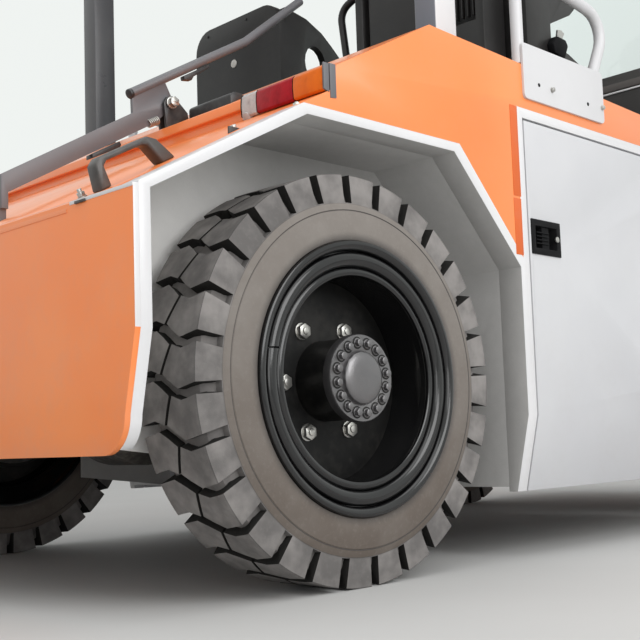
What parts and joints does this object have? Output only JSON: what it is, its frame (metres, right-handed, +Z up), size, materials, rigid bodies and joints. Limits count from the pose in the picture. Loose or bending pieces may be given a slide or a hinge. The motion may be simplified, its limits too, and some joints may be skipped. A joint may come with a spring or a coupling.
{
  "type": "airport baggage tug",
  "caption": "Two-seat airport baggage tug with a sloped rear deck, solid tyres, side doors, a canopy and a rear pin hitch.",
  "frame": {"origin": "on the floor below the middle of the vehicle", "axes": "+X forward, +Y to the left, +Z up"},
  "size_m": [3.312, 1.528, 2.15],
  "materials": {
    "orange_paint": "satin, sun-faded",
    "pale_paint": "satin",
    "grey_paint": "matt, dusty",
    "black_paint": "satin",
    "steel": "weathered",
    "iron": "matt",
    "tyre": "dusty",
    "plastic": "grained",
    "vinyl": "soft vinyl",
    "lamp": "clear moulded",
    "glass": "clear"
  },
  "bodies": {
    "chassis": {"frame": "black_paint", "cab_floor": "black_paint", "battery_block": "iron", "rear_axle": "iron", "front_axle": "black_paint", "rear_body": "orange_paint", "wheel_houses": "grey_paint", "side_frames": "pale_paint", "entry_panels": "pale_paint", "steps": "black_paint", "front_body": "orange_paint", "grille": "plastic", "headlamps": "lamp", "front_bumper": "black_paint", "seat_shells": "plastic", "seat_cushions": "vinyl", "seat_backs": "vinyl", "seat_box": "plastic", "hip_guards": "pale_paint", "canopy_posts": "pale_paint", "canopy_post_l": "black_paint", "canopy_roof": "pale_paint", "windscreen": "glass", "dash": "plastic", "steering_column": "black_paint", "pedals": "plastic", "tail_lamps": "lamp", "deck_handles": "black_paint", "hitch_lever": "steel", "hitch": "black_paint"},
    "bonnet": {"bonnet": "orange_paint"},
    "side_door_r": {"side_door_r": "pale_paint", "door_latch_r": "plastic"},
    "side_door_l": {"side_door_l": "pale_paint", "door_latch_l": "plastic"},
    "rear_wheel_r": {"rear_tyre_r": "tyre", "rear_rim_r": "black_paint", "rear_hub_r": "steel"},
    "rear_wheel_l": {"rear_tyre_l": "tyre", "rear_rim_l": "black_paint", "rear_hub_l": "steel"},
    "knuckle_r": {"knuckle_r": "steel"},
    "knuckle_l": {"knuckle_l": "steel"},
    "front_wheel_r": {"front_tyre_r": "tyre", "front_wheel_r": "black_paint"},
    "front_wheel_l": {"front_tyre_l": "tyre", "front_wheel_l": "black_paint"},
    "steering_rod": {"steering_rod": "steel"},
    "steering_wheel": {"steering_wheel": "plastic"},
    "hitch_pin": {"hitch_pin": "steel"}
  },
  "joints": [
    {"name": "rear_wheel_r_spin", "type": "hinge", "parent": "chassis", "child": "rear_wheel_r", "pos_m": [-1.044, -0.6425, 0.373], "axis": [0, 1, 0], "continuous": true},
    {"name": "knuckle_r_steer", "type": "hinge", "parent": "chassis", "child": "knuckle_r", "pos_m": [0.856, -0.54, 0.295], "axis": [0, 0, 1], "range_deg": [-35, 35]},
    {"name": "front_wheel_r_spin", "type": "hinge", "parent": "knuckle_r", "child": "front_wheel_r", "pos_m": [0.856, -0.64, 0.295], "axis": [0, 1, 0], "continuous": true},
    {"name": "side_door_r_hinge", "type": "hinge", "parent": "chassis", "child": "side_door_r", "pos_m": [0.045, -0.757, 0.6], "axis": [0, 0, 1], "range_deg": [0, 95]},
    {"name": "rear_wheel_l_spin", "type": "hinge", "parent": "chassis", "child": "rear_wheel_l", "pos_m": [-1.044, 0.6425, 0.373], "axis": [0, 1, 0], "continuous": true},
    {"name": "knuckle_l_steer", "type": "hinge", "parent": "chassis", "child": "knuckle_l", "pos_m": [0.856, 0.54, 0.295], "axis": [0, 0, 1], "range_deg": [-35, 35]},
    {"name": "front_wheel_l_spin", "type": "hinge", "parent": "knuckle_l", "child": "front_wheel_l", "pos_m": [0.856, 0.64, 0.295], "axis": [0, 1, 0], "continuous": true},
    {"name": "side_door_l_hinge", "type": "hinge", "parent": "chassis", "child": "side_door_l", "pos_m": [0.045, 0.757, 0.6], "axis": [0, 0, -1], "range_deg": [0, 95]},
    {"name": "steering_rod_slide", "type": "slide", "parent": "chassis", "child": "steering_rod", "axis": [0, 1, 0], "range_m": [-0.07, 0.07]},
    {"name": "steering_wheel_turn", "type": "hinge", "parent": "chassis", "child": "steering_wheel", "pos_m": [0.191, 0.44, 1.34], "axis": [-0.5736, 0, 0.8192], "range_deg": [-720, 720]},
    {"name": "bonnet_hinge", "type": "hinge", "parent": "chassis", "child": "bonnet", "pos_m": [0.582, 0, 1.0648], "axis": [0, -1, 0], "range_deg": [0, 50]},
    {"name": "hitch_pin_lift", "type": "slide", "parent": "chassis", "child": "hitch_pin", "axis": [0, 0, 1], "range_m": [0, 0.1]}
  ],
  "couplings": [
    {"joint": "knuckle_l_steer", "follows": "knuckle_r_steer", "ratio": 1},
    {"joint": "steering_rod_slide", "follows": "knuckle_r_steer", "m_per_rad": -0.1127}
  ]
}
